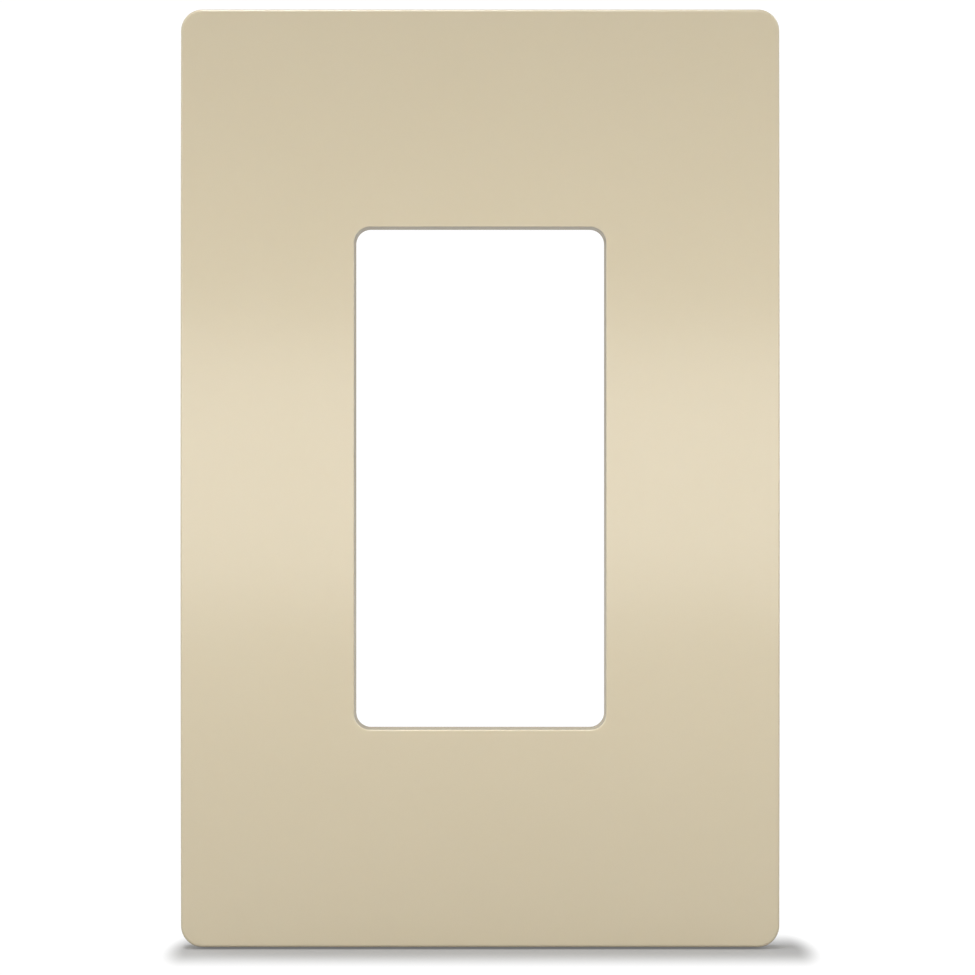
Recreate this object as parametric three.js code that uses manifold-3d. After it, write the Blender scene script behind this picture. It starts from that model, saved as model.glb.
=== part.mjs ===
// One-gang screwless wall plate: a clip-on cover over a sub-plate that two screws hold.
// Millimetres. X runs across, Z is up, the front faces -Y and the wall plane is y = 0.
// The origin is the centre of the device opening, on the wall plane.
import * as THREE from 'three';
import { mergeVertices } from 'three/addons/utils/BufferGeometryUtils.js';
import Module from 'manifold-3d';

const wasm = await Module();
wasm.setup();

// Driving dimensions. A depth is measured from the wall plane towards the front.
const COVER = { width: 80, height: 125.2, corner: 3.0, depth: 6.4, crown: 1.0, skin: 1.8, wall: 1.5 };
const COVER_DRAFT = 0.15;
const COVER_EDGE_ROUND = 0.4;
const OPENING = { width: 33.5, height: 66.9, corner: 2.1, collar: 1.2, collarBack: 2.2 };
const OPENING_DRAFT = 0.15;
const OPENING_EDGE_ROUND = 0.2;
const FACE_RINGS = 4;
const RIB = { thick: 0.9, back: 4.4, root: 5.8, x: 27, z: 40, halfHeight: 44, halfWidth: 27.2 };
const LEDGE = { length: 10, rise: 0.6, root: 0.7, pitch: 0.9, firstDepth: 1.7, count: 3 };
const PRY_NOTCH = { width: 9, depth: 1.2 };

const SUB = { width: 70.9, height: 116.1, corner: 3.0, depth: 3.0, thick: 1.6, skirt: 1.4 };
const SUB_EDGE_ROUND = 0.4;
const SUB_OPENING = { width: 37.5, height: 71, corner: 3.0, lip: 1.2, lipDepth: 4.2 };
const FINGER = { width: 8, thick: 1.2, inset: 0.15, top: 4.6, nose: 1.9, slot: 1.2, slotLength: 7 };
const SNAPS_LONG_SIDE = [-40, 0, 40];
const SNAPS_SHORT_SIDE = [-22, 22];

const SCREW_SPACING = 96.82;
const BOSS = { radius: 6.2, depth: 4.0, chamfer: 0.4 };
const HOLE_RADIUS = 2.1;
const SCREW = { headRadius: 3.3, shankRadius: 1.75, length: 19, headDepth: 3.9, coneAngle: 41 };
const SCREW_SLOT = { width: 0.9, depth: 0.9 };
const HEAD_CLEARANCE = 0.35;

const CORNER_STEPS = 6;
const LONG_STEPS = 8;
const SHORT_STEPS = 4;
const TURN_STEPS = 36;
const SIMPLIFY = 0.002;

const IVORY = { color: 0xe6d8bc, roughness: 0.42, metalness: 0 };
const GREY_PLASTIC = { color: 0xd9d6cc, roughness: 0.6, metalness: 0 };
const ZINC = { color: 0xb9bcc0, roughness: 0.32, metalness: 1 };

/** Manifold solid from a closed three.js geometry. */
function solid(geometry) {
  geometry.deleteAttribute('normal');
  geometry.deleteAttribute('uv');
  const merged = mergeVertices(geometry, 1e-4);
  return new wasm.Manifold(new wasm.Mesh({
    numProp: 3,
    vertProperties: new Float32Array(merged.attributes.position.array),
    triVerts: new Uint32Array(merged.index.array),
  }));
}

/** Named mesh from a Manifold solid. */
function meshOf(body, name, finish) {
  const { vertProperties, triVerts } = body.simplify(SIMPLIFY).getMesh();
  const geometry = new THREE.BufferGeometry();
  geometry.setAttribute('position', new THREE.BufferAttribute(vertProperties, 3));
  geometry.setIndex(new THREE.BufferAttribute(triVerts, 1));
  const mesh = new THREE.Mesh(geometry.toNonIndexed(), new THREE.MeshStandardMaterial(finish));
  mesh.geometry.computeVertexNormals();
  mesh.name = name;
  return mesh;
}

/** Box between two corners given as [x, depth, z]. */
function block([x0, d0, z0], [x1, d1, z1]) {
  const box = new THREE.BoxGeometry(Math.abs(x1 - x0), Math.abs(d1 - d0), Math.abs(z1 - z0));
  box.translate((x0 + x1) / 2, -(d0 + d1) / 2, (z0 + z1) / 2);
  return solid(box);
}

/** Solid turned about the Y axis, from [radius, depth] pairs that start and end on it. */
function turned(profile) {
  const lathe = new THREE.LatheGeometry(profile.map(([r, d]) => new THREE.Vector2(r, -d)), TURN_STEPS);
  return solid(flipped(lathe));
}

/** The same geometry with each triangle wound the other way. */
function flipped(geometry) {
  const index = geometry.index.array;
  for (let i = 0; i < index.length; i += 3) {
    [index[i], index[i + 1]] = [index[i + 1], index[i]];
  }
  return geometry;
}

/** A section of [out, depth] pairs, with out along +X, swept along Z and centred on it. */
function sweptSection(section, length) {
  const shape = new THREE.Shape(section.map(([out, d]) => new THREE.Vector2(out, -d)));
  const run = new THREE.ExtrudeGeometry(shape, { depth: length, bevelEnabled: false });
  run.translate(0, 0, -length / 2);
  return solid(run);
}

/** Points of a rounded rectangle as [x, z], with the same count whatever its size. */
function outline(width, height, radius) {
  const cx = width / 2 - radius;
  const cz = height / 2 - radius;
  const corners = [[cx, cz], [-cx, cz], [-cx, -cz], [cx, -cz]];
  const points = [];
  corners.forEach(([x, z], quarter) => {
    for (let i = 0; i <= CORNER_STEPS; i += 1) {
      const angle = (quarter + i / CORNER_STEPS) * Math.PI / 2;
      points.push([x + radius * Math.cos(angle), z + radius * Math.sin(angle)]);
    }
    const [fromX, fromZ] = points[points.length - 1];
    const [nx, nz] = corners[(quarter + 1) % 4];
    const turn = (quarter + 1) * Math.PI / 2;
    const toX = nx + radius * Math.cos(turn);
    const toZ = nz + radius * Math.sin(turn);
    const steps = quarter % 2 ? LONG_STEPS : SHORT_STEPS;
    for (let i = 1; i < steps; i += 1) {
      points.push([fromX + (toX - fromX) * i / steps, fromZ + (toZ - fromZ) * i / steps]);
    }
  });
  return points;
}

/** Ring-shaped body through a closed sequence of rounded rectangles. */
function loopLoft(rings) {
  const positions = [];
  const index = [];
  let count = 0;
  for (const ring of rings) {
    const points = outline(ring.width, ring.height, ring.corner);
    count = points.length;
    for (const [x, z] of points) {
      positions.push(x, -(ring.depth + (ring.crown ?? 0) * crownAt(z)), z);
    }
  }
  for (let i = 0; i < rings.length; i += 1) {
    const here = i * count;
    const next = ((i + 1) % rings.length) * count;
    for (let j = 0; j < count; j += 1) {
      const k = (j + 1) % count;
      index.push(here + j, here + k, next + k, here + j, next + k, next + j);
    }
  }
  const geometry = new THREE.BufferGeometry();
  geometry.setAttribute('position', new THREE.Float32BufferAttribute(positions, 3));
  geometry.setIndex(new THREE.Uint32BufferAttribute(index, 1));
  return solid(geometry);
}

/** Share of the crown at a height: 1 at mid-height, 0 at the top and bottom edges. */
function crownAt(z) {
  return 1 - (z / (COVER.height / 2)) ** 2;
}

/** Rounded rectangle grown by a margin on every side. */
function grown({ width, height, corner }, margin, depth, crown = 0) {
  return { width: width + 2 * margin, height: height + 2 * margin, corner: corner + margin, depth, crown };
}

/** Rings that round a front edge: `side` is -1 for an outer edge and 1 for the edge of a hole. */
function roundedEdge(base, radius, side, depth, crown, steps) {
  const rings = [];
  for (let i = 0; i <= steps; i += 1) {
    const angle = (i / steps) * Math.PI / 2;
    const margin = side * radius * (1 - Math.cos(angle));
    rings.push(grown(base, margin, depth - radius + radius * Math.sin(angle), crown));
  }
  return rings;
}

/** Rings that cross from one rounded rectangle to another at the first one's depth, ends left out. */
function crossing(from, to, steps) {
  const rings = [];
  for (let i = 1; i < steps; i += 1) {
    const t = i / steps;
    rings.push({
      ...from,
      width: from.width + (to.width - from.width) * t,
      height: from.height + (to.height - from.height) * t,
      corner: from.corner + (to.corner - from.corner) * t,
    });
  }
  return rings;
}

/** The cover without its ribs and ledges: walls, crowned face and collar. */
function coverShell() {
  const { depth, crown, skin, wall } = COVER;
  const edge = roundedEdge(grown(COVER, -COVER_DRAFT, 0), COVER_EDGE_ROUND, -1, depth, crown, 4);
  const mouth = roundedEdge(OPENING, OPENING_EDGE_ROUND, 1, depth, crown, 3).reverse();
  const innerDepth = depth - skin;
  const collarRoot = grown(OPENING, OPENING.collar, innerDepth, crown);
  const cavityRoot = grown(COVER, -wall - COVER_DRAFT, innerDepth, crown);
  return loopLoft([
    grown(COVER, 0, 0),
    ...edge,
    ...crossing(edge[edge.length - 1], mouth[0], FACE_RINGS),
    ...mouth,
    grown(OPENING, -OPENING_DRAFT, OPENING.collarBack),
    grown(OPENING, OPENING.collar, OPENING.collarBack),
    collarRoot,
    ...crossing(collarRoot, cavityRoot, FACE_RINGS),
    cavityRoot,
    grown(COVER, -wall, 0),
  ]);
}

/** Stiffening ribs on the back of the cover's face, rooted inside it. */
function coverRibs() {
  const ribs = [];
  for (const side of [-1, 1]) {
    const x = side * RIB.x;
    const z = side * RIB.z;
    const half = RIB.thick / 2;
    ribs.push(block([x - half, RIB.back, -RIB.halfHeight], [x + half, RIB.root, RIB.halfHeight]));
    ribs.push(block([-RIB.halfWidth, RIB.back, z - half], [RIB.halfWidth, RIB.root, z + half]));
  }
  return ribs;
}

/** One snap station's ledges, standing inwards from a wall whose inner face is at out = 0. */
function ledgeStack() {
  const { rise, pitch, firstDepth, count, length } = LEDGE;
  const parts = [];
  for (let i = 0; i < count; i += 1) {
    const d = firstDepth + i * pitch;
    const section = [[-rise, d - 0.1], [-rise, d + 0.1], [LEDGE.root, d + 0.4], [LEDGE.root, d - 0.4]];
    parts.push(sweptSection(section, length));
  }
  return wasm.Manifold.union(parts);
}

/** Copies of what `make` builds facing +X, one at each snap station, facing outwards. */
function atSnapStations(make, longSideX, shortSideZ) {
  const placed = [];
  for (const z of SNAPS_LONG_SIDE) {
    placed.push(make().translate([longSideX, 0, z]));
    placed.push(make().rotate([0, 180, 0]).translate([-longSideX, 0, z]));
  }
  for (const x of SNAPS_SHORT_SIDE) {
    placed.push(make().rotate([0, -90, 0]).translate([x, 0, shortSideZ]));
    placed.push(make().rotate([0, 90, 0]).translate([x, 0, -shortSideZ]));
  }
  return placed;
}

/** The clip-on cover. */
function coverPlate() {
  const wallX = COVER.width / 2 - COVER.wall;
  const wallZ = COVER.height / 2 - COVER.wall;
  const ledges = atSnapStations(ledgeStack, wallX, wallZ);
  const body = wasm.Manifold.union([coverShell(), ...coverRibs(), ...ledges]);
  const notch = block(
    [-PRY_NOTCH.width / 2, -1, -COVER.height / 2 - 1],
    [PRY_NOTCH.width / 2, PRY_NOTCH.depth, -COVER.height / 2 + COVER.wall + 1],
  );
  return body.subtract(notch);
}

/** The sub-plate's flat frame with its skirt and the lip round its opening. */
function subPlateFrame() {
  const { depth, thick, skirt } = SUB;
  return loopLoft([
    grown(SUB, 0, 0),
    ...roundedEdge(SUB, SUB_EDGE_ROUND, -1, depth, 0, 3),
    grown(SUB_OPENING, SUB_OPENING.lip, depth),
    grown(SUB_OPENING, SUB_OPENING.lip, SUB_OPENING.lipDepth),
    grown(SUB_OPENING, 0, SUB_OPENING.lipDepth),
    grown(SUB_OPENING, 0, depth - thick),
    grown(SUB, -skirt, depth - thick),
    grown(SUB, -skirt, 0),
  ]);
}

/** Flexing finger with an outward nose, standing at the plate's edge, which is at out = 0. */
function finger() {
  const { thick, top, nose, width, inset } = FINGER;
  const back = -inset - thick;
  const section = [
    [back, SUB.depth - 0.8], [-inset, SUB.depth - 0.8], [-inset, top - 1.1], [nose, top - 0.7],
    [nose, top - 0.5], [-inset + 0.4, top], [back, top],
  ];
  return sweptSection(section.reverse(), width);
}

/** What is cut away to free a finger: a slot on either side, and the skirt below it. */
function fingerRelief() {
  const { width, slot, slotLength } = FINGER;
  const slots = [-1, 1].map((side) => {
    const near = side * (width / 2 + 0.2);
    return block([-slotLength, -1, near], [1, SUB.depth + 1, near + side * slot]);
  });
  const half = width / 2 + 0.2 + slot / 2;
  const underneath = block([-SUB.skirt - 0.3, -1, -half], [1, SUB.depth - SUB.thick + 0.2, half]);
  return wasm.Manifold.union([...slots, underneath]);
}

/** Countersunk hole through a boss, clear of the screw all round. */
function screwHole() {
  const slope = Math.tan(THREE.MathUtils.degToRad(SCREW.coneAngle));
  const sink = (SCREW.headRadius + HEAD_CLEARANCE - HOLE_RADIUS) / slope;
  return turned([
    [0, -1], [HOLE_RADIUS, -1], [HOLE_RADIUS, BOSS.depth - sink],
    [HOLE_RADIUS + slope * (sink + 0.5), BOSS.depth + 0.5], [0, BOSS.depth + 0.5],
  ]);
}

/** Raised round boss that carries a screw's head. */
function screwBoss() {
  const { radius, depth, chamfer } = BOSS;
  const root = SUB.depth - SUB.thick / 2;
  return turned([[0, root], [radius, root], [radius, depth - chamfer], [radius - chamfer, depth], [0, depth]]);
}

/** Copies of a body at the two screw positions. */
function atScrews(body) {
  return [1, -1].map((side) => body.translate([0, 0, side * SCREW_SPACING / 2]));
}

/** The frame behind the cover that the screws hold. */
function subPlate() {
  const fingers = atSnapStations(finger, SUB.width / 2, SUB.height / 2);
  const reliefs = atSnapStations(fingerRelief, SUB.width / 2, SUB.height / 2);
  const frame = subPlateFrame().subtract(wasm.Manifold.union(reliefs));
  const raised = wasm.Manifold.union([frame, ...atScrews(screwBoss()), ...fingers]);
  return raised.subtract(wasm.Manifold.union(atScrews(screwHole())));
}

/** Slotted flat-head machine screw on the Y axis. */
function mountingScrew() {
  const { headRadius, shankRadius, length, headDepth, coneAngle } = SCREW;
  const neck = headDepth - 0.2 - (headRadius - shankRadius) / Math.tan(THREE.MathUtils.degToRad(coneAngle));
  const tip = headDepth - length;
  const body = turned([
    [0, tip], [shankRadius - 0.5, tip], [shankRadius, tip + 0.6], [shankRadius, neck],
    [headRadius, headDepth - 0.2], [headRadius - 0.1, headDepth], [0, headDepth],
  ]);
  const half = SCREW_SLOT.width / 2;
  const reach = headRadius + 1;
  return body.subtract(block([-half, headDepth - SCREW_SLOT.depth, -reach], [half, headDepth + 1, reach]));
}

const upperScrew = meshOf(mountingScrew(), 'mounting_screw_upper', ZINC);
upperScrew.position.z = SCREW_SPACING / 2;
const lowerScrew = meshOf(mountingScrew(), 'mounting_screw_lower', ZINC);
lowerScrew.position.z = -SCREW_SPACING / 2;

const plate = new THREE.Group();
plate.name = 'wall_plate';
plate.add(
  meshOf(coverPlate(), 'cover_plate', IVORY),
  meshOf(subPlate(), 'sub_plate', GREY_PLASTIC),
  upperScrew,
  lowerScrew,
);

export default plate;
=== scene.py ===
"""One-gang screwless wall plate: the looks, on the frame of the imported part.

The part is drawn in millimetres and `piece` turns it into metres; the stage, the lights, the camera
and the materials are in metres. A depth is measured from the wall plane (y = 0) towards the front,
which faces -Y.
"""

import math

import bmesh
import bpy
from mathutils import Matrix, Vector


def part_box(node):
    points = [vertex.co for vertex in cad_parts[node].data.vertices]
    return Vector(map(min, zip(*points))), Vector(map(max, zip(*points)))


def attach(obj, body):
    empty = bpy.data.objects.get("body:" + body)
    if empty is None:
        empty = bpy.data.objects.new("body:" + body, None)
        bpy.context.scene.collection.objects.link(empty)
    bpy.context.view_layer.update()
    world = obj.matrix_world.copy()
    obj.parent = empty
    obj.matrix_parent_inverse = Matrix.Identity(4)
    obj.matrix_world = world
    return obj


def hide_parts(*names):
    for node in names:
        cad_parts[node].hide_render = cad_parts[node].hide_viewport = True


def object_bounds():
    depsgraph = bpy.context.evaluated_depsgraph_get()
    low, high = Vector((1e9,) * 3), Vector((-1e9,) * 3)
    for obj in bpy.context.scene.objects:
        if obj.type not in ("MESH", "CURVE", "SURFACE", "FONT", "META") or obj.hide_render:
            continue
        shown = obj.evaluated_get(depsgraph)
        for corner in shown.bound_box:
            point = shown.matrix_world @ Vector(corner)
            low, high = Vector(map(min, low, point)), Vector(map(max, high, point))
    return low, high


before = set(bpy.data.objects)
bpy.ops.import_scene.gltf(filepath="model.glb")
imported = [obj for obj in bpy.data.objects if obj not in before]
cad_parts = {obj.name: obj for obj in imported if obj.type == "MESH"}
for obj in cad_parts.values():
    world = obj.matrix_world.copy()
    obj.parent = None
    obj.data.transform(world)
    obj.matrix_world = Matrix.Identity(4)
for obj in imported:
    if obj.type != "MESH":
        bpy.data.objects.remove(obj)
CAD_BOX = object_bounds()

# ------------------------------------------------------------------ sizes, from the frame where it has them
MM = 1000.0
cover_low, cover_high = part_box("cover_plate")
screw_low, screw_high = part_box("mounting_screw_upper")

# The cover. Outlines are (width, height, corner radius), and a back is the depth of a rear face.
COVER_W, COVER_DEEP, COVER_H = [MM * (high - low) for low, high in zip(cover_low, cover_high)]
COVER = (COVER_W, COVER_H, 3.0)
CROWN = 1.0
EDGE_DEPTH = COVER_DEEP - CROWN
SKIN, WALL, DRAFT = 1.8, 1.5, 0.15
EDGE_R, MOUTH_R = 0.4, 0.2
OPENING = (33.5, 66.9, 2.1)
OPENING_DRAFT = 0.15
COLLAR, COLLAR_BACK = 1.2, 2.2
RIB_X, RIB_Z, RIB_BACK, RIB_THICK, RIB_SINK = 27.0, 40.0, 4.4, 0.9, 5.9
RIB_HALF_HEIGHT, RIB_HALF_WIDTH = 44.0, 27.2
LEDGE_LONG, LEDGE_FIRST, LEDGE_PITCH, LEDGE_COUNT = 10.0, 1.7, 0.9, 3
LEDGE_STANDS, LEDGE_SINK, LEDGE_TIP, LEDGE_ROOT, LEDGE_R = 0.6, 0.8, 0.1, 0.42, 0.05
NOTCH_WIDE, NOTCH_DEEP = 9.0, 1.2
RIM_R = 0.12

# The sub-plate, with its snap fingers and the places of the snaps along each side.
SUB = (70.9, 116.1, 3.0)
SUB_DEPTH, SUB_THICK, SUB_SKIRT = 3.0, 1.6, 1.4
SUB_BACK = SUB_DEPTH - SUB_THICK
SUB_OPENING = (37.5, 71.0, 3.0)
LIP, LIP_DEPTH = 1.2, 4.2
BOSS_R, BOSS_DEPTH, HOLE_R, HEAD_CLEARANCE = 6.2, 4.0, 2.1, 0.35
FINGER_W, FINGER_TOP, FINGER_NOSE, FINGER_INSET, FINGER_THICK = 8.0, 4.6, 1.9, 0.15, 1.2
SLOT_LONG, SLOT_WIDE, SLOT_GAP, SLOT_IN = 8.0, 1.2, 0.2, 3.0
SNAPS_LONG, SNAPS_SHORT = (-40.0, 0.0, 40.0), (-22.0, 22.0)

# The screws: 6-32, with an 82 degree countersunk head.
SCREW_Z = MM * (screw_high[2] + screw_low[2]) / 2
SCREW_LONG = MM * (screw_high[1] - screw_low[1])
HEAD_R, HEAD_DEPTH = MM * (screw_high[0] - screw_low[0]) / 2, -MM * screw_low[1]
HEAD_LAND, CONE = 0.2, math.radians(41)
SHANK_R, PITCH, THREAD_DEEP = 1.75, 0.794, 0.38
DRIVE_LONG, DRIVE_WIDE, DRIVE_DEEP = 9.0, 0.9, 0.9


# ------------------------------------------------------------------ mesh code
def outline(width, height, radius, corner_steps, long_steps, short_steps):
    """Points (x, z) of a rounded rectangle, counter-clockwise, the same count for any size."""
    cx, cz = width / 2 - radius, height / 2 - radius
    corners = [(cx, cz), (-cx, cz), (-cx, -cz), (cx, -cz)]
    points = []
    for quarter, (x, z) in enumerate(corners):
        for i in range(corner_steps + 1):
            a = (quarter + i / corner_steps) * math.pi / 2
            points.append((x + radius * math.cos(a), z + radius * math.sin(a)))
        x0, z0 = points[-1]
        nx, nz = corners[(quarter + 1) % 4]
        a = (quarter + 1) * math.pi / 2
        x1, z1 = nx + radius * math.cos(a), nz + radius * math.sin(a)
        steps = long_steps if quarter % 2 else short_steps
        for i in range(1, steps):
            t = i / steps
            points.append((x0 + (x1 - x0) * t, z0 + (z1 - z0) * t))
    return points


def crown_at(z):
    """How far the crown lifts the face at a height: all of it at mid-height, nothing at both ends."""
    return CROWN * (1 - (z / (COVER_H / 2)) ** 2)


def ring(base, margin, depth, crown=0.0):
    """One ring of a loft: a rounded rectangle grown by a margin, at a depth, with a share of the crown."""
    w, h, r = base
    return (w + 2 * margin, h + 2 * margin, max(r + margin, 0.05), depth, crown)


def arc(base, margin, depth, radius, start, end, steps, crown=0.0):
    """Rings round an edge: the arc's centre is at (margin, depth), and angle 0 points outwards."""
    rings = []
    for i in range(steps + 1):
        a = math.radians(start + (end - start) * i / steps)
        rings.append(ring(base, margin + radius * math.cos(a), depth + radius * math.sin(a), crown))
    return rings


def across(a, b, shares):
    """Rings between ring a and ring b at the given shares of the way."""
    return [tuple(p + (q - p) * t for p, q in zip(a, b)) for t in shares]


def loop_loft(rings, corner_steps=12, long_steps=40, short_steps=16):
    """Closed ring-shaped bmesh through a closed sequence of rings."""
    bm = bmesh.new()
    rows = []
    for w, h, r, depth, crown in rings:
        points = outline(w, h, r, corner_steps, long_steps, short_steps)
        rows.append([bm.verts.new((x, -(depth + crown * crown_at(z)), z)) for x, z in points])
    count = len(rows[0])
    for i, row in enumerate(rows):
        nxt = rows[(i + 1) % len(rows)]
        for j in range(count):
            k = (j + 1) % count
            bm.faces.new((row[j], row[k], nxt[k], nxt[j]))
    bmesh.ops.recalc_face_normals(bm, faces=bm.faces)
    return bm


def stack(rings, corner_steps=6, long_steps=1, short_steps=1):
    """Closed solid through an open sequence of rings, capped at both ends."""
    bm = bmesh.new()
    rows = []
    for w, h, r, depth, _ in rings:
        points = outline(w, h, r, corner_steps, long_steps, short_steps)
        rows.append([bm.verts.new((x, -depth, z)) for x, z in points])
    count = len(rows[0])
    for row, nxt in zip(rows, rows[1:]):
        for j in range(count):
            k = (j + 1) % count
            bm.faces.new((row[j], row[k], nxt[k], nxt[j]))
    bm.faces.new(rows[0])
    bm.faces.new(rows[-1])
    bmesh.ops.recalc_face_normals(bm, faces=bm.faces)
    return bm


def lathe(profile, steps=96):
    """Closed solid turned about Y, from (radius, depth) pairs that start and end on the axis."""
    bm = bmesh.new()
    rows = []
    for r, d in profile:
        if r < 1e-6:
            rows.append([bm.verts.new((0, -d, 0))])
            continue
        angles = [2 * math.pi * i / steps for i in range(steps)]
        rows.append([bm.verts.new((r * math.cos(a), -d, r * math.sin(a))) for a in angles])
    for row, nxt in zip(rows, rows[1:]):
        for j in range(steps):
            k = (j + 1) % steps
            if len(row) == 1:
                bm.faces.new((row[0], nxt[k], nxt[j]))
            elif len(nxt) == 1:
                bm.faces.new((row[j], row[k], nxt[0]))
            else:
                bm.faces.new((row[j], row[k], nxt[k], nxt[j]))
    bmesh.ops.recalc_face_normals(bm, faces=bm.faces)
    return bm


def rounded(bm, radius, segments):
    """Rounds every edge of a bmesh."""
    bmesh.ops.bevel(
        bm, geom=bm.edges[:], offset=radius, segments=segments, profile=0.5, affect="EDGES",
        clamp_overlap=True,
    )


def swept(section, length, bevel):
    """A section of (out, depth) pairs, out along +X, swept along Z, with every edge rounded."""
    bm = bmesh.new()
    low = [bm.verts.new((o, -d, -length / 2)) for o, d in section]
    high = [bm.verts.new((o, -d, length / 2)) for o, d in section]
    for j in range(len(section)):
        k = (j + 1) % len(section)
        bm.faces.new((low[j], low[k], high[k], high[j]))
    bm.faces.new(low)
    bm.faces.new(high)
    bmesh.ops.recalc_face_normals(bm, faces=bm.faces)
    rounded(bm, bevel, 2)
    return bm


def block(x0, x1, d0, d1, z0, z1, bevel=0.0):
    """Box between limits, its edges rounded if a bevel is given."""
    bm = bmesh.new()
    bmesh.ops.create_cube(bm, size=1.0)
    at = Vector(((x0 + x1) / 2, -(d0 + d1) / 2, (z0 + z1) / 2))
    size = Matrix.Diagonal((abs(x1 - x0), abs(d1 - d0), abs(z1 - z0), 1.0))
    bmesh.ops.transform(bm, matrix=Matrix.Translation(at) @ size, verts=bm.verts)
    if bevel:
        rounded(bm, bevel, 3)
    return bm


def moved(bm, x=0.0, z=0.0, turn=0.0):
    """The same bmesh turned about Y by an angle in degrees, then moved in the wall's plane."""
    m = Matrix.Translation((x, 0, z)) @ Matrix.Rotation(math.radians(turn), 4, "Y")
    bmesh.ops.transform(bm, matrix=m, verts=bm.verts)
    return bm


def object_of(bm, name):
    """Turns a bmesh into an object in the scene, and uses it up."""
    mesh = bpy.data.meshes.new(name)
    bm.to_mesh(mesh)
    bm.free()
    obj = bpy.data.objects.new(name, mesh)
    bpy.context.scene.collection.objects.link(obj)
    return obj


def combined(base, parts, operation):
    """The base object after a boolean with every part in turn; the parts are used up."""
    for bm in parts:
        tool = object_of(bm, "tool")
        mod = base.modifiers.new("cut", "BOOLEAN")
        mod.operation, mod.object, mod.solver = operation, tool, "MANIFOLD"
        mesh = bpy.data.meshes.new_from_object(base.evaluated_get(bpy.context.evaluated_depsgraph_get()))
        base.modifiers.clear()
        old = base.data
        base.data = mesh
        bpy.data.meshes.remove(old)
        data = tool.data
        bpy.data.objects.remove(tool)
        bpy.data.meshes.remove(data)
    return base


def piece(obj, name, body, nodes, material, angle=32):
    """Turns a finished object into a piece: metres, smooth shading, material and the body it rides on."""
    obj.name = obj.data.name = name
    obj.data.transform(Matrix.Scale(1 / MM, 4))
    obj.data.polygons.foreach_set("use_smooth", [True] * len(obj.data.polygons))
    obj.data.set_sharp_from_angle(angle=math.radians(angle))
    weighted = obj.modifiers.new("weighted", "WEIGHTED_NORMAL")
    weighted.keep_sharp, weighted.weight = True, 80
    obj.data.materials.clear()
    obj.data.materials.append(material)
    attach(obj, body)
    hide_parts(*nodes)
    return obj


def ejector_mark(face, way, radius, sunk, broken, steps):
    """Cutter for a round mark sunk into a face, towards the front (way 1) or the wall (way -1).

    `broken` is how far in and how deep the broken edge at the bottom of the mark goes.
    """
    inset, deep = broken
    return lathe([
        (0, face - way), (radius, face - way), (radius, face + way * (sunk - deep)),
        (radius - inset, face + way * sunk), (0, face + way * sunk),
    ], steps)


def at_stations(make, long_x, short_z):
    """What `make` builds facing +X, at every snap station, facing outwards."""
    copies = []
    for z in SNAPS_LONG:
        copies += [moved(make(), long_x, z), moved(make(), -long_x, z, 180)]
    for x in SNAPS_SHORT:
        copies += [moved(make(), x, short_z, -90), moved(make(), x, -short_z, 90)]
    return copies


# ------------------------------------------------------------------ materials
def node(tree, kind, **values):
    """New shader node; each value goes to the input of that name, or else to the node's own setting."""
    n = tree.nodes.new(kind)
    for key, value in values.items():
        if key in n.inputs:
            n.inputs[key].default_value = value
        else:
            setattr(n, key, value)
    return n


def mapped(tree, source, stretch):
    """Coordinates scaled along each axis: a small scale draws a pattern out along it."""
    m = node(tree, "ShaderNodeMapping")
    m.inputs["Scale"].default_value = stretch
    tree.links.new(source, m.inputs["Vector"])
    return m.outputs["Vector"]


def noise(tree, vector, scale, detail=3.0, roughness=0.5):
    """Noise between 0 and 1, about 0.3 to 0.7 in most places."""
    n = node(tree, "ShaderNodeTexNoise", Scale=scale, Detail=detail, Roughness=roughness)
    tree.links.new(vector, n.inputs["Vector"])
    return n.outputs["Fac"]


def ranged(tree, value, low, high, to_low, to_high, kind="LINEAR"):
    """The value carried from one range to another, and held at the ends."""
    n = node(tree, "ShaderNodeMapRange", interpolation_type=kind)
    for socket, number in zip(n.inputs[1:5], (low, high, to_low, to_high)):
        socket.default_value = number
    tree.links.new(value, n.inputs["Value"])
    return n.outputs["Result"]


def math_node(tree, operation, a, b=0.0):
    """One operation on two values, each a number or a socket."""
    n = node(tree, "ShaderNodeMath", operation=operation)
    for socket, value in zip(n.inputs, (a, b)):
        if isinstance(value, (int, float)):
            socket.default_value = value
        else:
            tree.links.new(value, socket)
    return n.outputs["Value"]


def mixed(tree, factor, a, b):
    """Colour a where the factor is 0 and b where it is 1; each is a tuple or a socket."""
    n = node(tree, "ShaderNodeMix", data_type="RGBA")
    tree.links.new(factor, n.inputs["Factor"])
    for socket, colour in ((n.inputs["A"], a), (n.inputs["B"], b)):
        if isinstance(colour, tuple):
            socket.default_value = (*colour, 1.0)
        else:
            tree.links.new(colour, socket)
    return n.outputs["Result"]


def bumped(tree, height, distance, strength=1.0, below=None):
    """Normal with a height pattern on it, on top of another bump if one is given."""
    n = node(tree, "ShaderNodeBump", Strength=strength, Distance=distance)
    tree.links.new(height, n.inputs["Height"])
    if below is not None:
        tree.links.new(below, n.inputs["Normal"])
    return n.outputs["Normal"]


def edge_mask(tree, radius):
    """1 along edges, 0 on flats: how far the normal turns within a small radius."""
    soft = node(tree, "ShaderNodeBevel", samples=4, Radius=radius)
    turn = node(tree, "ShaderNodeVectorMath", operation="DOT_PRODUCT")
    tree.links.new(soft.outputs["Normal"], turn.inputs[0])
    tree.links.new(node(tree, "ShaderNodeNewGeometry").outputs["Normal"], turn.inputs[1])
    return ranged(tree, turn.outputs["Value"], 0.995, 0.90, 0, 1)


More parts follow.
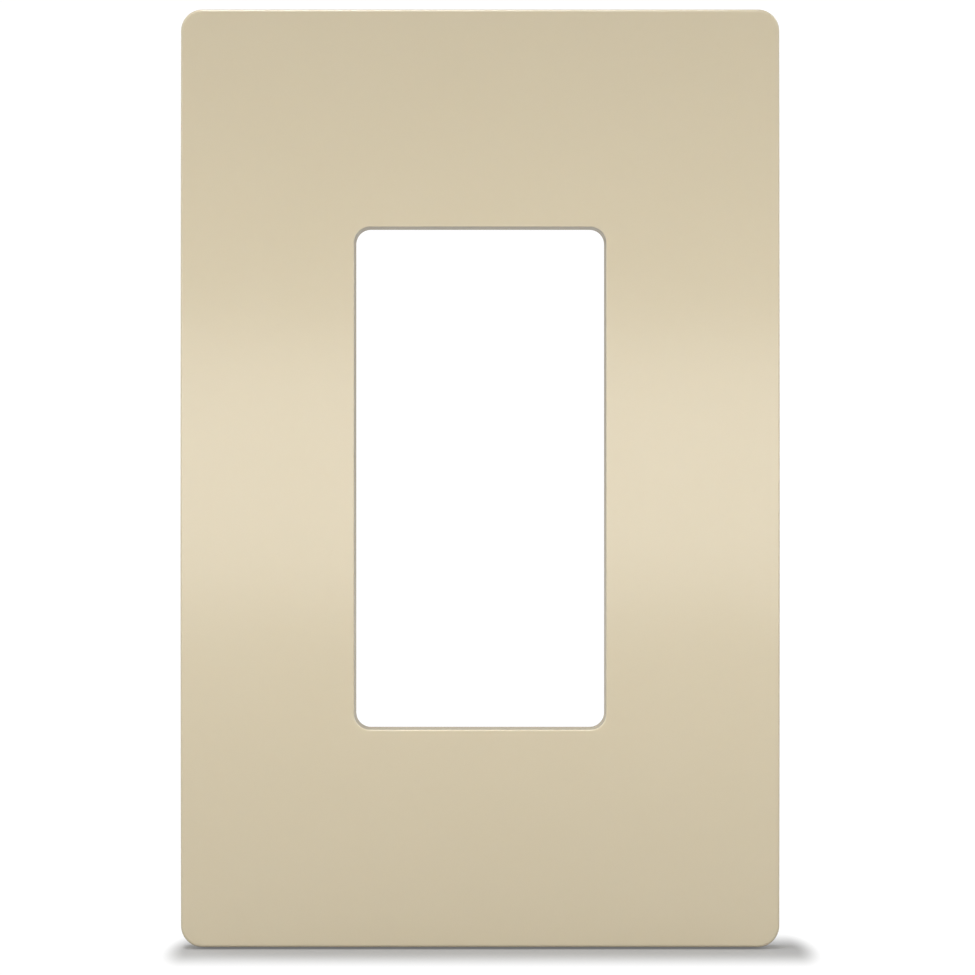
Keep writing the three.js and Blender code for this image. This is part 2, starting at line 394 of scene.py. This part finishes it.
def shader(name):
    """New material with its tree, its Principled shader and the object's own coordinates in metres."""
    material = bpy.data.materials.new(name)
    material.use_nodes = True
    tree = material.node_tree
    return material, tree, tree.nodes["Principled BSDF"], node(tree, "ShaderNodeTexCoord").outputs["Object"]


def cover_plastic():
    """Ivory polycarbonate from a fine-textured mould: satin, with a faint mottle, and edges that are
    smoother and lighter in colour; the lighter colour is partly polish wear and partly a painted edge
    highlight.
    """
    material, tree, bsdf, at = shader("cover_plastic")
    cloud = noise(tree, at, 55, 3, 0.55)
    fleck = noise(tree, at, 900, 2, 0.5)
    colour = mixed(tree, ranged(tree, cloud, 0.3, 0.7, 0, 1), (0.748, 0.652, 0.464), (0.755, 0.659, 0.471))
    colour = mixed(tree, ranged(tree, fleck, 0.35, 0.75, 0, 0.10), colour, (0.72, 0.62, 0.445))
    # Lighter colour along edges, convex and concave alike: partly polish wear, partly a painted edge
    # highlight.
    edge = math_node(tree, "MULTIPLY", edge_mask(tree, 0.00025), 0.6)
    colour = mixed(tree, edge, colour, (0.80, 0.71, 0.54))
    tree.links.new(colour, bsdf.inputs["Base Color"])
    rough = ranged(tree, noise(tree, at, 160, 4, 0.6), 0.3, 0.7, 0.21, 0.25)
    rough = math_node(tree, "SUBTRACT", rough, math_node(tree, "MULTIPLY", edge, 0.06))
    tree.links.new(rough, bsdf.inputs["Roughness"])
    wave = bumped(tree, noise(tree, at, 42, 2, 0.4), 0.00004)
    grain = bumped(tree, noise(tree, at, 5200, 2, 0.6), 0.000012, 0.8, wave)
    tree.links.new(grain, bsdf.inputs["Normal"])
    bsdf.inputs["IOR"].default_value = 1.58
    bsdf.inputs["Coat Weight"].default_value = 0.3
    bsdf.inputs["Coat Roughness"].default_value = 0.2
    bsdf.inputs["Subsurface Weight"].default_value = 0.06
    bsdf.inputs["Subsurface Radius"].default_value = (1.0, 0.7, 0.4)
    bsdf.inputs["Subsurface Scale"].default_value = 0.0008
    return material


def sub_plate_plastic():
    """Pale grey structural plastic, matt, with flow streaks and a coarser texture."""
    material, tree, bsdf, at = shader("sub_plate_plastic")
    streak = noise(tree, mapped(tree, at, (1.0, 1.0, 0.16)), 260, 5, 0.62)
    cloud = noise(tree, at, 70, 3, 0.5)
    colour = mixed(tree, ranged(tree, streak, 0.32, 0.7, 0, 1), (0.60, 0.60, 0.565), (0.665, 0.665, 0.63))
    colour = mixed(tree, ranged(tree, cloud, 0.4, 0.75, 0, 0.5), colour, (0.57, 0.565, 0.52))
    # Lighter colour along edges, convex and concave alike: partly wear, partly a painted edge highlight.
    edge = math_node(tree, "MULTIPLY", edge_mask(tree, 0.0002), 0.7)
    colour = mixed(tree, edge, colour, (0.74, 0.74, 0.71))
    tree.links.new(colour, bsdf.inputs["Base Color"])
    tree.links.new(ranged(tree, streak, 0.3, 0.7, 0.50, 0.64), bsdf.inputs["Roughness"])
    coarse = bumped(tree, noise(tree, at, 1800, 3, 0.6), 0.00003, 0.7)
    flow = bumped(tree, streak, 0.00003, 0.5, coarse)
    tree.links.new(flow, bsdf.inputs["Normal"])
    bsdf.inputs["IOR"].default_value = 1.5
    return material


def screw_steel():
    """Zinc-plated steel: a cool bright metal with a cloudy passivated film and tool scuffs."""
    material, tree, bsdf, at = shader("screw_steel")
    film = noise(tree, at, 700, 4, 0.6)
    colour = mixed(tree, ranged(tree, film, 0.3, 0.7, 0, 1), (0.58, 0.60, 0.62), (0.70, 0.70, 0.67))
    edge = ranged(tree, node(tree, "ShaderNodeNewGeometry").outputs["Pointiness"], 0.5, 0.62, 0, 1)
    colour = mixed(tree, edge, colour, (0.78, 0.79, 0.80))
    tree.links.new(colour, bsdf.inputs["Base Color"])
    rough = ranged(tree, noise(tree, at, 2200, 4, 0.65), 0.3, 0.7, 0.24, 0.42)
    tree.links.new(rough, bsdf.inputs["Roughness"])
    scuff = noise(tree, mapped(tree, at, (0.2, 1.0, 1.0)), 9000, 3, 0.6)
    tree.links.new(bumped(tree, scuff, 0.000012, 0.6), bsdf.inputs["Normal"])
    bsdf.inputs["Metallic"].default_value = 1.0
    return material


# ------------------------------------------------------------------ the cover
def cover_shell():
    """Outer walls, rounded front edge, crowned face, opening, collar and the hollow behind the face."""
    skin_back = EDGE_DEPTH - SKIN
    root_r, collar_r, wall_top = 0.35, 0.15, 0.9
    bore_up, bore_deep = 1.2, 3.5
    rim = arc(COVER, -RIM_R, RIM_R, RIM_R, -90, 0, 3)
    front = arc(COVER, -DRAFT - EDGE_R, EDGE_DEPTH - EDGE_R, EDGE_R, 0, 90, 8, 1.0)
    mouth = arc(OPENING, MOUTH_R, EDGE_DEPTH - MOUTH_R, MOUTH_R, 90, 180, 7, 1.0)
    face = across(front[-1], mouth[0], (0.02, 0.08, 0.2, 0.34, 0.5, 0.66, 0.8, 0.92, 0.98))
    collar_end = [
        *arc(OPENING, collar_r - OPENING_DRAFT, COLLAR_BACK + collar_r, collar_r, 180, 270, 3),
        *arc(OPENING, COLLAR - collar_r, COLLAR_BACK + collar_r, collar_r, -90, 0, 3),
    ]
    collar_root = arc(OPENING, COLLAR + root_r, skin_back - root_r, root_r, 180, 90, 4, 1.0)
    inner_root = arc(COVER, -WALL - DRAFT - root_r, skin_back - root_r, root_r, 90, 0, 4, 1.0)
    inner_face = across(collar_root[-1], inner_root[0], (0.05, 0.3, 0.5, 0.7, 0.95))
    inner_rim = arc(COVER, -WALL + RIM_R, RIM_R, RIM_R, 180, 270, 3)
    outside = [*rim, ring(COVER, 0, wall_top), *front, *face, *mouth]
    bore = ring(OPENING, OPENING_DRAFT * (bore_up / bore_deep - 1), COLLAR_BACK + bore_up)
    through = [bore, *collar_end, ring(OPENING, COLLAR, COLLAR_BACK + 1.0)]
    inside = [*collar_root, *inner_face, *inner_root, ring(COVER, -WALL, wall_top), *inner_rim]
    return object_of(loop_loft(outside + through + inside), "cover_shell")


def cover_details():
    """What is moulded on the back of the face: ribs and the snap ledges on the walls."""
    parts = []
    half, soft = RIB_THICK / 2, 0.18
    for side in (-1, 1):
        x, z = side * RIB_X, side * RIB_Z
        tall, wide = RIB_HALF_HEIGHT, RIB_HALF_WIDTH
        parts.append(block(x - half, x + half, RIB_BACK, RIB_SINK, -tall, tall, soft))
        parts.append(block(-wide, wide, RIB_BACK + 0.02, RIB_SINK, z - half, z + half, soft))

    def ledge(d):
        """A ledge at a depth, standing inwards from the wall and thicker where it is rooted in it."""
        section = [
            (-LEDGE_STANDS, d - LEDGE_TIP), (-LEDGE_STANDS, d + LEDGE_TIP),
            (LEDGE_SINK, d + LEDGE_ROOT), (LEDGE_SINK, d - LEDGE_ROOT),
        ]
        return swept(section, LEDGE_LONG, LEDGE_R)

    for i in range(LEDGE_COUNT):
        depth = LEDGE_FIRST + LEDGE_PITCH * i
        parts += at_stations(lambda d=depth: ledge(d), COVER_W / 2 - WALL, COVER_H / 2 - WALL)
    return parts


def cover_cuts():
    """The pry notch in the lower rim, and the ejector marks on the back of the face."""
    half, low = NOTCH_WIDE / 2, -COVER_H / 2
    cuts = [block(-half, half, -1, NOTCH_DEEP, low - 1, low + WALL + 1, 0.3)]
    for x, z in ((31, 20), (31, -20), (22, 46), (22, -46), (8, 54), (31, 50), (31, -50), (8, -54)):
        face = EDGE_DEPTH - SKIN + crown_at(z)
        for side in (-1, 1):
            cuts.append(moved(ejector_mark(face, 1, 2.0, 0.14, (0.08, 0.05), 40), side * x, z))
    return cuts


cover = combined(cover_shell(), cover_details(), "UNION")
cover = combined(cover, cover_cuts(), "DIFFERENCE")
piece(cover, "cover_moulding", "cover", ["cover_plate"], cover_plastic())


# ------------------------------------------------------------------ the sub-plate
def sub_frame():
    """The frame: skirt, rounded edge, lip round the opening and the recess behind."""
    edge_r, lip_r, lip_root_r, mouth_r, skirt_root_r = 0.4, 0.2, 0.25, 0.15, 0.3
    foot_out = arc(SUB, -RIM_R, RIM_R, RIM_R, -90, 0, 2)
    foot_in = arc(SUB, -SUB_SKIRT + RIM_R, RIM_R, RIM_R, 180, 270, 2)
    edge = arc(SUB, -edge_r, SUB_DEPTH - edge_r, edge_r, 0, 90, 5)
    lip_root = arc(SUB_OPENING, LIP + lip_root_r, SUB_DEPTH + lip_root_r, lip_root_r, 270, 180, 3)
    lip_top = [
        *arc(SUB_OPENING, LIP - lip_r, LIP_DEPTH - lip_r, lip_r, 0, 90, 3),
        *arc(SUB_OPENING, lip_r, LIP_DEPTH - lip_r, lip_r, 90, 180, 3),
    ]
    mouth_back = arc(SUB_OPENING, mouth_r, SUB_BACK + mouth_r, mouth_r, 180, 270, 3)
    skirt_root = arc(SUB, -SUB_SKIRT - skirt_root_r, SUB_BACK - skirt_root_r, skirt_root_r, 90, 0, 3)
    rings = [*foot_out, *edge, *lip_root, *lip_top, *mouth_back, *skirt_root, *foot_in]
    return object_of(loop_loft(rings, 10, 12, 6), "sub_frame")


def finger():
    """A snap finger standing on the plate's edge, its nose pointing outwards."""
    back, front = -FINGER_INSET - FINGER_THICK, -FINGER_INSET
    foot = SUB_DEPTH - 0.8
    nose_root, nose_low, nose_high = [FINGER_TOP - down for down in (1.1, 0.7, 0.5)]
    section = [
        (back, foot), (front, foot), (front, nose_root), (FINGER_NOSE, nose_low), (FINGER_NOSE, nose_high),
        (front + 0.4, FINGER_TOP), (back, FINGER_TOP),
    ]
    return swept(section, FINGER_W, 0.07)


def at_screws(make):
    """What `make` builds, on the axis of each screw."""
    return [moved(make(), 0, side * SCREW_Z) for side in (-1, 1)]


def relief_slots():
    """One cutter per slot beside a finger, flared at the plate's front so that its edges are broken."""
    base, flare = (SLOT_LONG, SLOT_WIDE, 0.3), 0.15
    beside = FINGER_W / 2 + SLOT_GAP + SLOT_WIDE / 2

    def slot(side):
        rings = [
            ring(base, 0, -1), ring(base, 0, SUB_BACK + 0.12), ring(base, 0, SUB_DEPTH - flare),
            ring(base, flare, SUB_DEPTH), ring(base, flare, SUB_DEPTH + 1),
        ]
        return moved(stack(rings), -SLOT_IN, side * beside)

    cuts = []
    for side in (-1, 1):
        cuts += at_stations(lambda s=side: slot(s), SUB[0] / 2, SUB[1] / 2)
    return cuts


def under_fingers():
    """Cutters that take the skirt away behind the fingers and thin the plate there."""
    half, inner, past, thinner, soft = FINGER_W / 2 + 0.8, -SUB_SKIRT - 0.3, 1.5, 0.2, 0.12

    def pocket():
        return block(inner, past, -1, SUB_BACK + thinner, -half, half, soft)

    return at_stations(pocket, SUB[0] / 2, SUB[1] / 2)


def screw_boss():
    """Round boss with a fillet at its root and a rounded top edge."""
    root, fillet, edge = SUB_DEPTH - SUB_THICK / 2, 0.35, 0.3
    return lathe([
        (0, root), (BOSS_R + fillet, root), (BOSS_R + fillet, SUB_DEPTH), (BOSS_R + 0.1, SUB_DEPTH + 0.1),
        (BOSS_R, SUB_DEPTH + fillet), (BOSS_R, BOSS_DEPTH - edge), (BOSS_R - 0.09, BOSS_DEPTH - 0.09),
        (BOSS_R - edge, BOSS_DEPTH), (0, BOSS_DEPTH),
    ])


def screw_hole():
    """Cutter for the hole and its countersink, with broken edges at both ends."""
    slope = math.tan(CONE)
    mouth = HEAD_R + HEAD_CLEARANCE
    sink = (mouth - HOLE_R) / slope
    back_edge, mouth_edge = 0.2, 0.12
    return lathe([
        (0, -1), (HOLE_R + back_edge, -1), (HOLE_R + back_edge, SUB_BACK), (HOLE_R, SUB_BACK + back_edge),
        (HOLE_R, BOSS_DEPTH - sink), (mouth - mouth_edge * slope, BOSS_DEPTH - mouth_edge),
        (mouth + mouth_edge, BOSS_DEPTH), (mouth + mouth_edge, BOSS_DEPTH + 1), (0, BOSS_DEPTH + 1),
    ])


def sub_marks():
    """Ejector marks on the front and the back of the sub-plate."""
    cuts = []
    for x, z in ((14, 51), (27, 28), (27, 12), (27, -12), (27, -28), (14, -51)):
        for side in (-1, 1):
            cuts.append(moved(ejector_mark(SUB_DEPTH, -1, 1.5, 0.12, (0.1, 0.07), 36), side * x, z))
    for x, z in ((25, 50), (24, 20), (24, -20), (25, -50), (10, 42), (10, -42)):
        for side in (-1, 1):
            cuts.append(moved(ejector_mark(SUB_BACK, 1, 1.75, 0.12, (0.1, 0.06), 36), side * x, z))
    return cuts


sub = combined(sub_frame(), relief_slots() + under_fingers(), "DIFFERENCE")
sub = combined(sub, at_screws(screw_boss) + at_stations(finger, SUB[0] / 2, SUB[1] / 2), "UNION")
sub = combined(sub, at_screws(screw_hole) + sub_marks(), "DIFFERENCE")
piece(sub, "sub_plate_moulding", "sub_plate", ["sub_plate"], sub_plate_plastic())


# ------------------------------------------------------------------ the screws
def share(value):
    """The value held between 0 and 1."""
    return min(max(value, 0.0), 1.0)


def thread_radius(depth, angle, low, high):
    """Radius of a 60 degree thread that runs out at both ends of its length.

    `crest` and `flanks` are shares of the pitch. At the tip the surface rises over `lead_in`, from
    `under` below the root.
    """
    crest, flanks = 0.12, 0.70
    lead_in, under = 1.2 * PITCH, 0.15
    turn = (depth / PITCH + angle / (2 * math.pi)) % 1.0
    cut = THREAD_DEEP * share((abs(turn - 0.5) * 2 - crest) / flanks)
    ridge = (THREAD_DEEP - cut) * share((high - depth) / PITCH)
    limit = (THREAD_DEEP + under) * share((depth - low) / lead_in) - under
    return SHANK_R - THREAD_DEEP + min(ridge, limit)


def screw_body(columns=40, rows_per_turn=12):
    """Countersunk head and helically threaded shank as one closed surface."""
    root, tip_r = SHANK_R - THREAD_DEEP, 0.55
    tip, cone_top = HEAD_DEPTH - SCREW_LONG, HEAD_DEPTH - HEAD_LAND
    neck = cone_top - (HEAD_R - SHANK_R) / math.tan(CONE)
    low, high = tip + 0.05, neck - 0.25
    rows = int((high - low) / PITCH * rows_per_turn)
    bm = bmesh.new()
    loops = []

    def add(depth, radius_at):
        """One loop at a depth; the radius is a number or a function of the angle."""
        loop = []
        for j in range(columns):
            a = 2 * math.pi * j / columns
            r = radius_at(a) if callable(radius_at) else radius_at
            loop.append(bm.verts.new((r * math.cos(a), -depth, r * math.sin(a))))
        loops.append(loop)

    add(tip, tip_r)
    add(tip, root - 0.2)
    for i in range(rows + 1):
        depth = low + (high - low) * i / rows
        add(depth, lambda a, d=depth: thread_radius(d, a, low, high))
    add(neck - 0.05, root + 0.02)
    for t in (0.0, 0.1, 0.5, 0.92, 1.0):
        add(neck + (cone_top - neck) * t, root + 0.1 + (HEAD_R - root - 0.1) * t)
    for a in (0.0, 30.0, 60.0, 90.0):
        turn = math.radians(a)
        add(cone_top + 0.04 + 0.16 * math.sin(turn), HEAD_R - 0.12 + 0.12 * math.cos(turn))
    for part in (0.8, 0.45, 0.15):
        add(HEAD_DEPTH, HEAD_R * part)
    for row, nxt in zip(loops, loops[1:]):
        for j in range(columns):
            k = (j + 1) % columns
            bm.faces.new((row[j], row[k], nxt[k], nxt[j]))
    bm.faces.new(loops[0])
    bm.faces.new(loops[-1])
    bmesh.ops.recalc_face_normals(bm, faces=bm.faces)
    return object_of(bm, "screw")


def drive_slot():
    """Cutter for the driver slot, right across the head, flared at its mouth to break the edges."""
    base, flare = (DRIVE_WIDE, DRIVE_LONG, 0.08), 0.08
    rings = [
        ring(base, 0, HEAD_DEPTH - DRIVE_DEEP), ring(base, 0, HEAD_DEPTH - 0.1),
        ring(base, flare, HEAD_DEPTH), ring(base, flare, HEAD_DEPTH + 1),
    ]
    return stack(rings, 2)


steel = screw_steel()
for name, side in (("upper", 1), ("lower", -1)):
    screw = combined(screw_body(), [drive_slot()], "DIFFERENCE")
    screw.data.transform(Matrix.Translation((0, 0, side * SCREW_Z)))
    replaced = [f"mounting_screw_{name}"]
    piece(screw, f"screw_{name}", f"{name}_screw", replaced, steel, angle=24)


# ------------------------------------------------------------------ stage, lights and camera
# The floor lies just under the plate's lower edge. The camera sees a painted white glow over it, which
# grows round SHADE_AT from NEAR_FADE of the way at FADE_FROM to all the way at FADE_TO; only near SHADE_AT
# does the floor's own shading show, so that patch's size and its offset to the right and front are a
# painted shadow shape. Beside the plate a distance counts SIDE_FADE times.
FLOOR_HALF, FLOOR_Z = 60.0, CAD_BOX[0][2] - 0.00015
FLOOR_TONES = (0.36, 0.38)
WORLD_LIGHT = 0.145
SEEN_WHITE = 1.05
SHADE_AT = (0.0015, -0.007)
FADE_FROM, FADE_TO, SIDE_FADE, NEAR_FADE = 0.003, 0.025, 6.0, 0.15


def distance_from_shade(tree, at):
    """How far a point of the floor is from the strip under the plate where the painted glow is weakest and
    the floor's own shading shows, in metres.
    """
    axes = node(tree, "ShaderNodeSeparateXYZ")
    tree.links.new(at, axes.inputs[0])
    sideways, along = [math_node(tree, "SUBTRACT", axes.outputs[i], SHADE_AT[i]) for i in range(2)]
    beside = math_node(tree, "SUBTRACT", math_node(tree, "ABSOLUTE", sideways), COVER_W / 2 / MM)
    beside = math_node(tree, "MULTIPLY", math_node(tree, "MAXIMUM", beside, 0), SIDE_FADE)
    squares = [math_node(tree, "POWER", part, 2) for part in (beside, along)]
    return math_node(tree, "SQRT", math_node(tree, "ADD", *squares))


def floor_material():
    """Pale studio floor under a painted white glow that only the camera sees: weak at the plate, where the
    floor's own shading shows, and full further off.
    """
    material, tree, bsdf, at = shader("floor")
    bsdf.inputs["Roughness"].default_value = 0.9
    bsdf.inputs["Specular IOR Level"].default_value = 0.1
    tone = ranged(tree, noise(tree, at, 3, 2, 0.5), 0.3, 0.7, 0, 1)
    tree.links.new(mixed(tree, tone, *[(grey,) * 3 for grey in FLOOR_TONES]), bsdf.inputs["Base Color"])
    away = distance_from_shade(tree, at)
    fade = ranged(tree, away, FADE_FROM, FADE_TO, NEAR_FADE, 1.0, "SMOOTHSTEP")
    # Painted light: a white glow for camera rays only, growing with the distance from the plate, so the
    # shaded patch's size and offset are painted.
    seen = node(tree, "ShaderNodeLightPath").outputs["Is Camera Ray"]
    painted_glow = node(tree, "ShaderNodeEmission", Strength=SEEN_WHITE)
    lift = node(tree, "ShaderNodeMixShader")
    tree.links.new(math_node(tree, "MULTIPLY", fade, seen), lift.inputs["Fac"])
    tree.links.new(bsdf.outputs["BSDF"], lift.inputs[1])
    tree.links.new(painted_glow.outputs["Emission"], lift.inputs[2])
    tree.links.new(lift.outputs["Shader"], tree.nodes["Material Output"].inputs["Surface"])
    return material


def studio_world():
    """Soft white light from all round, seen by the camera as plain white."""
    world = bpy.data.worlds.new("studio")
    world.use_nodes = True
    tree = world.node_tree
    light = tree.nodes["Background"]
    light.inputs["Color"].default_value = (1, 1, 1, 1)
    light.inputs["Strength"].default_value = WORLD_LIGHT
    white = node(tree, "ShaderNodeBackground", Strength=SEEN_WHITE)
    white.inputs["Color"].default_value = (1, 1, 1, 1)
    pick = node(tree, "ShaderNodeMixShader")
    tree.links.new(node(tree, "ShaderNodeLightPath").outputs["Is Camera Ray"], pick.inputs["Fac"])
    tree.links.new(light.outputs["Background"], pick.inputs[1])
    tree.links.new(white.outputs["Background"], pick.inputs[2])
    tree.links.new(pick.outputs["Shader"], tree.nodes["World Output"].inputs["Surface"])
    return world


def placed(name, data, at, target=(0, 0, 0)):
    """New object in the scene at a place, in metres, looking at a target."""
    obj = bpy.data.objects.new(name, data)
    bpy.context.scene.collection.objects.link(obj)
    obj.location = at
    obj.rotation_euler = (Vector(target) - Vector(at)).to_track_quat("-Z", "Y").to_euler()
    return obj


def softbox(name, at, width, height, radiance, target=(0, 0, 0)):
    """Area light of a given radiance, unseen by the camera."""
    light = bpy.data.lights.new(name, "AREA")
    light.shape, light.size, light.size_y = "RECTANGLE", width, height
    light.energy = radiance * math.pi * width * height
    placed(name, light, at, target).visible_camera = False


floor_bm = bmesh.new()
bmesh.ops.create_grid(floor_bm, x_segments=8, y_segments=8, size=FLOOR_HALF)
bmesh.ops.translate(floor_bm, vec=(0, 0, FLOOR_Z), verts=floor_bm.verts)
floor = object_of(floor_bm, "floor")
floor.data.materials.append(floor_material())

scene = bpy.context.scene
scene.world = studio_world()
scene.view_settings.view_transform = "Standard"
scene.view_settings.look = "None"

# The strip close to the face draws the bright band across its crown.
STRIP_Z, STRIP_OFF = 0.0016, 0.09
strip_at = (0, CAD_BOX[0][1] - STRIP_OFF, STRIP_Z)
softbox("front_strip", strip_at, 0.6, 0.044, 1.5, (0, 0, STRIP_Z))
softbox("top_front", (-0.10, -0.72, 0.72), 0.9, 0.16, 5.4)
softbox("right_fill", (0.58, -0.81, 0.05), 0.10, 0.9, 6.55)
softbox("left_fill", (-0.58, -0.81, 0.05), 0.10, 0.9, 6.0)
softbox("back_glow", (0.1, 1.2, 0.15), 1.0, 0.8, 0.15)
for name, side in (("back_right", 1), ("back_left", -1)):
    softbox(name, (side * 1.1, 0.8, 0.58), 1.6, 1.25, 1.3)

for name, at, strength, spread in (
    ("overhead", (-0.12, 0.06, 1.0), 0.65, 20),
    ("top_edge", (-0.06, -0.13, 1.0), 0.65, 12),
):
    sun = bpy.data.lights.new(name, "SUN")
    sun.energy, sun.angle = strength, math.radians(spread)
    placed(name, sun, at)

# The camera looks straight at the wall, and its frame is FRAME_WIDE across at FRAMED_AT from the wall.
CAMERA_X, CAMERA_FAR, CAMERA_Z = 0.00098, 0.6, -0.00123
FRAME_WIDE, FRAMED_AT, SENSOR = 0.12988, 0.0061, 36.0
camera_data = bpy.data.cameras.new("camera")
camera_data.sensor_width = SENSOR
camera_data.lens = SENSOR * (CAMERA_FAR - FRAMED_AT) / FRAME_WIDE
camera_data.clip_start, camera_data.clip_end = 0.01, 200.0
camera = bpy.data.objects.new("camera", camera_data)
scene.collection.objects.link(camera)
scene.camera = camera
camera.location = (CAMERA_X, -CAMERA_FAR, CAMERA_Z)
camera.rotation_euler = (math.radians(90), 0, 0)
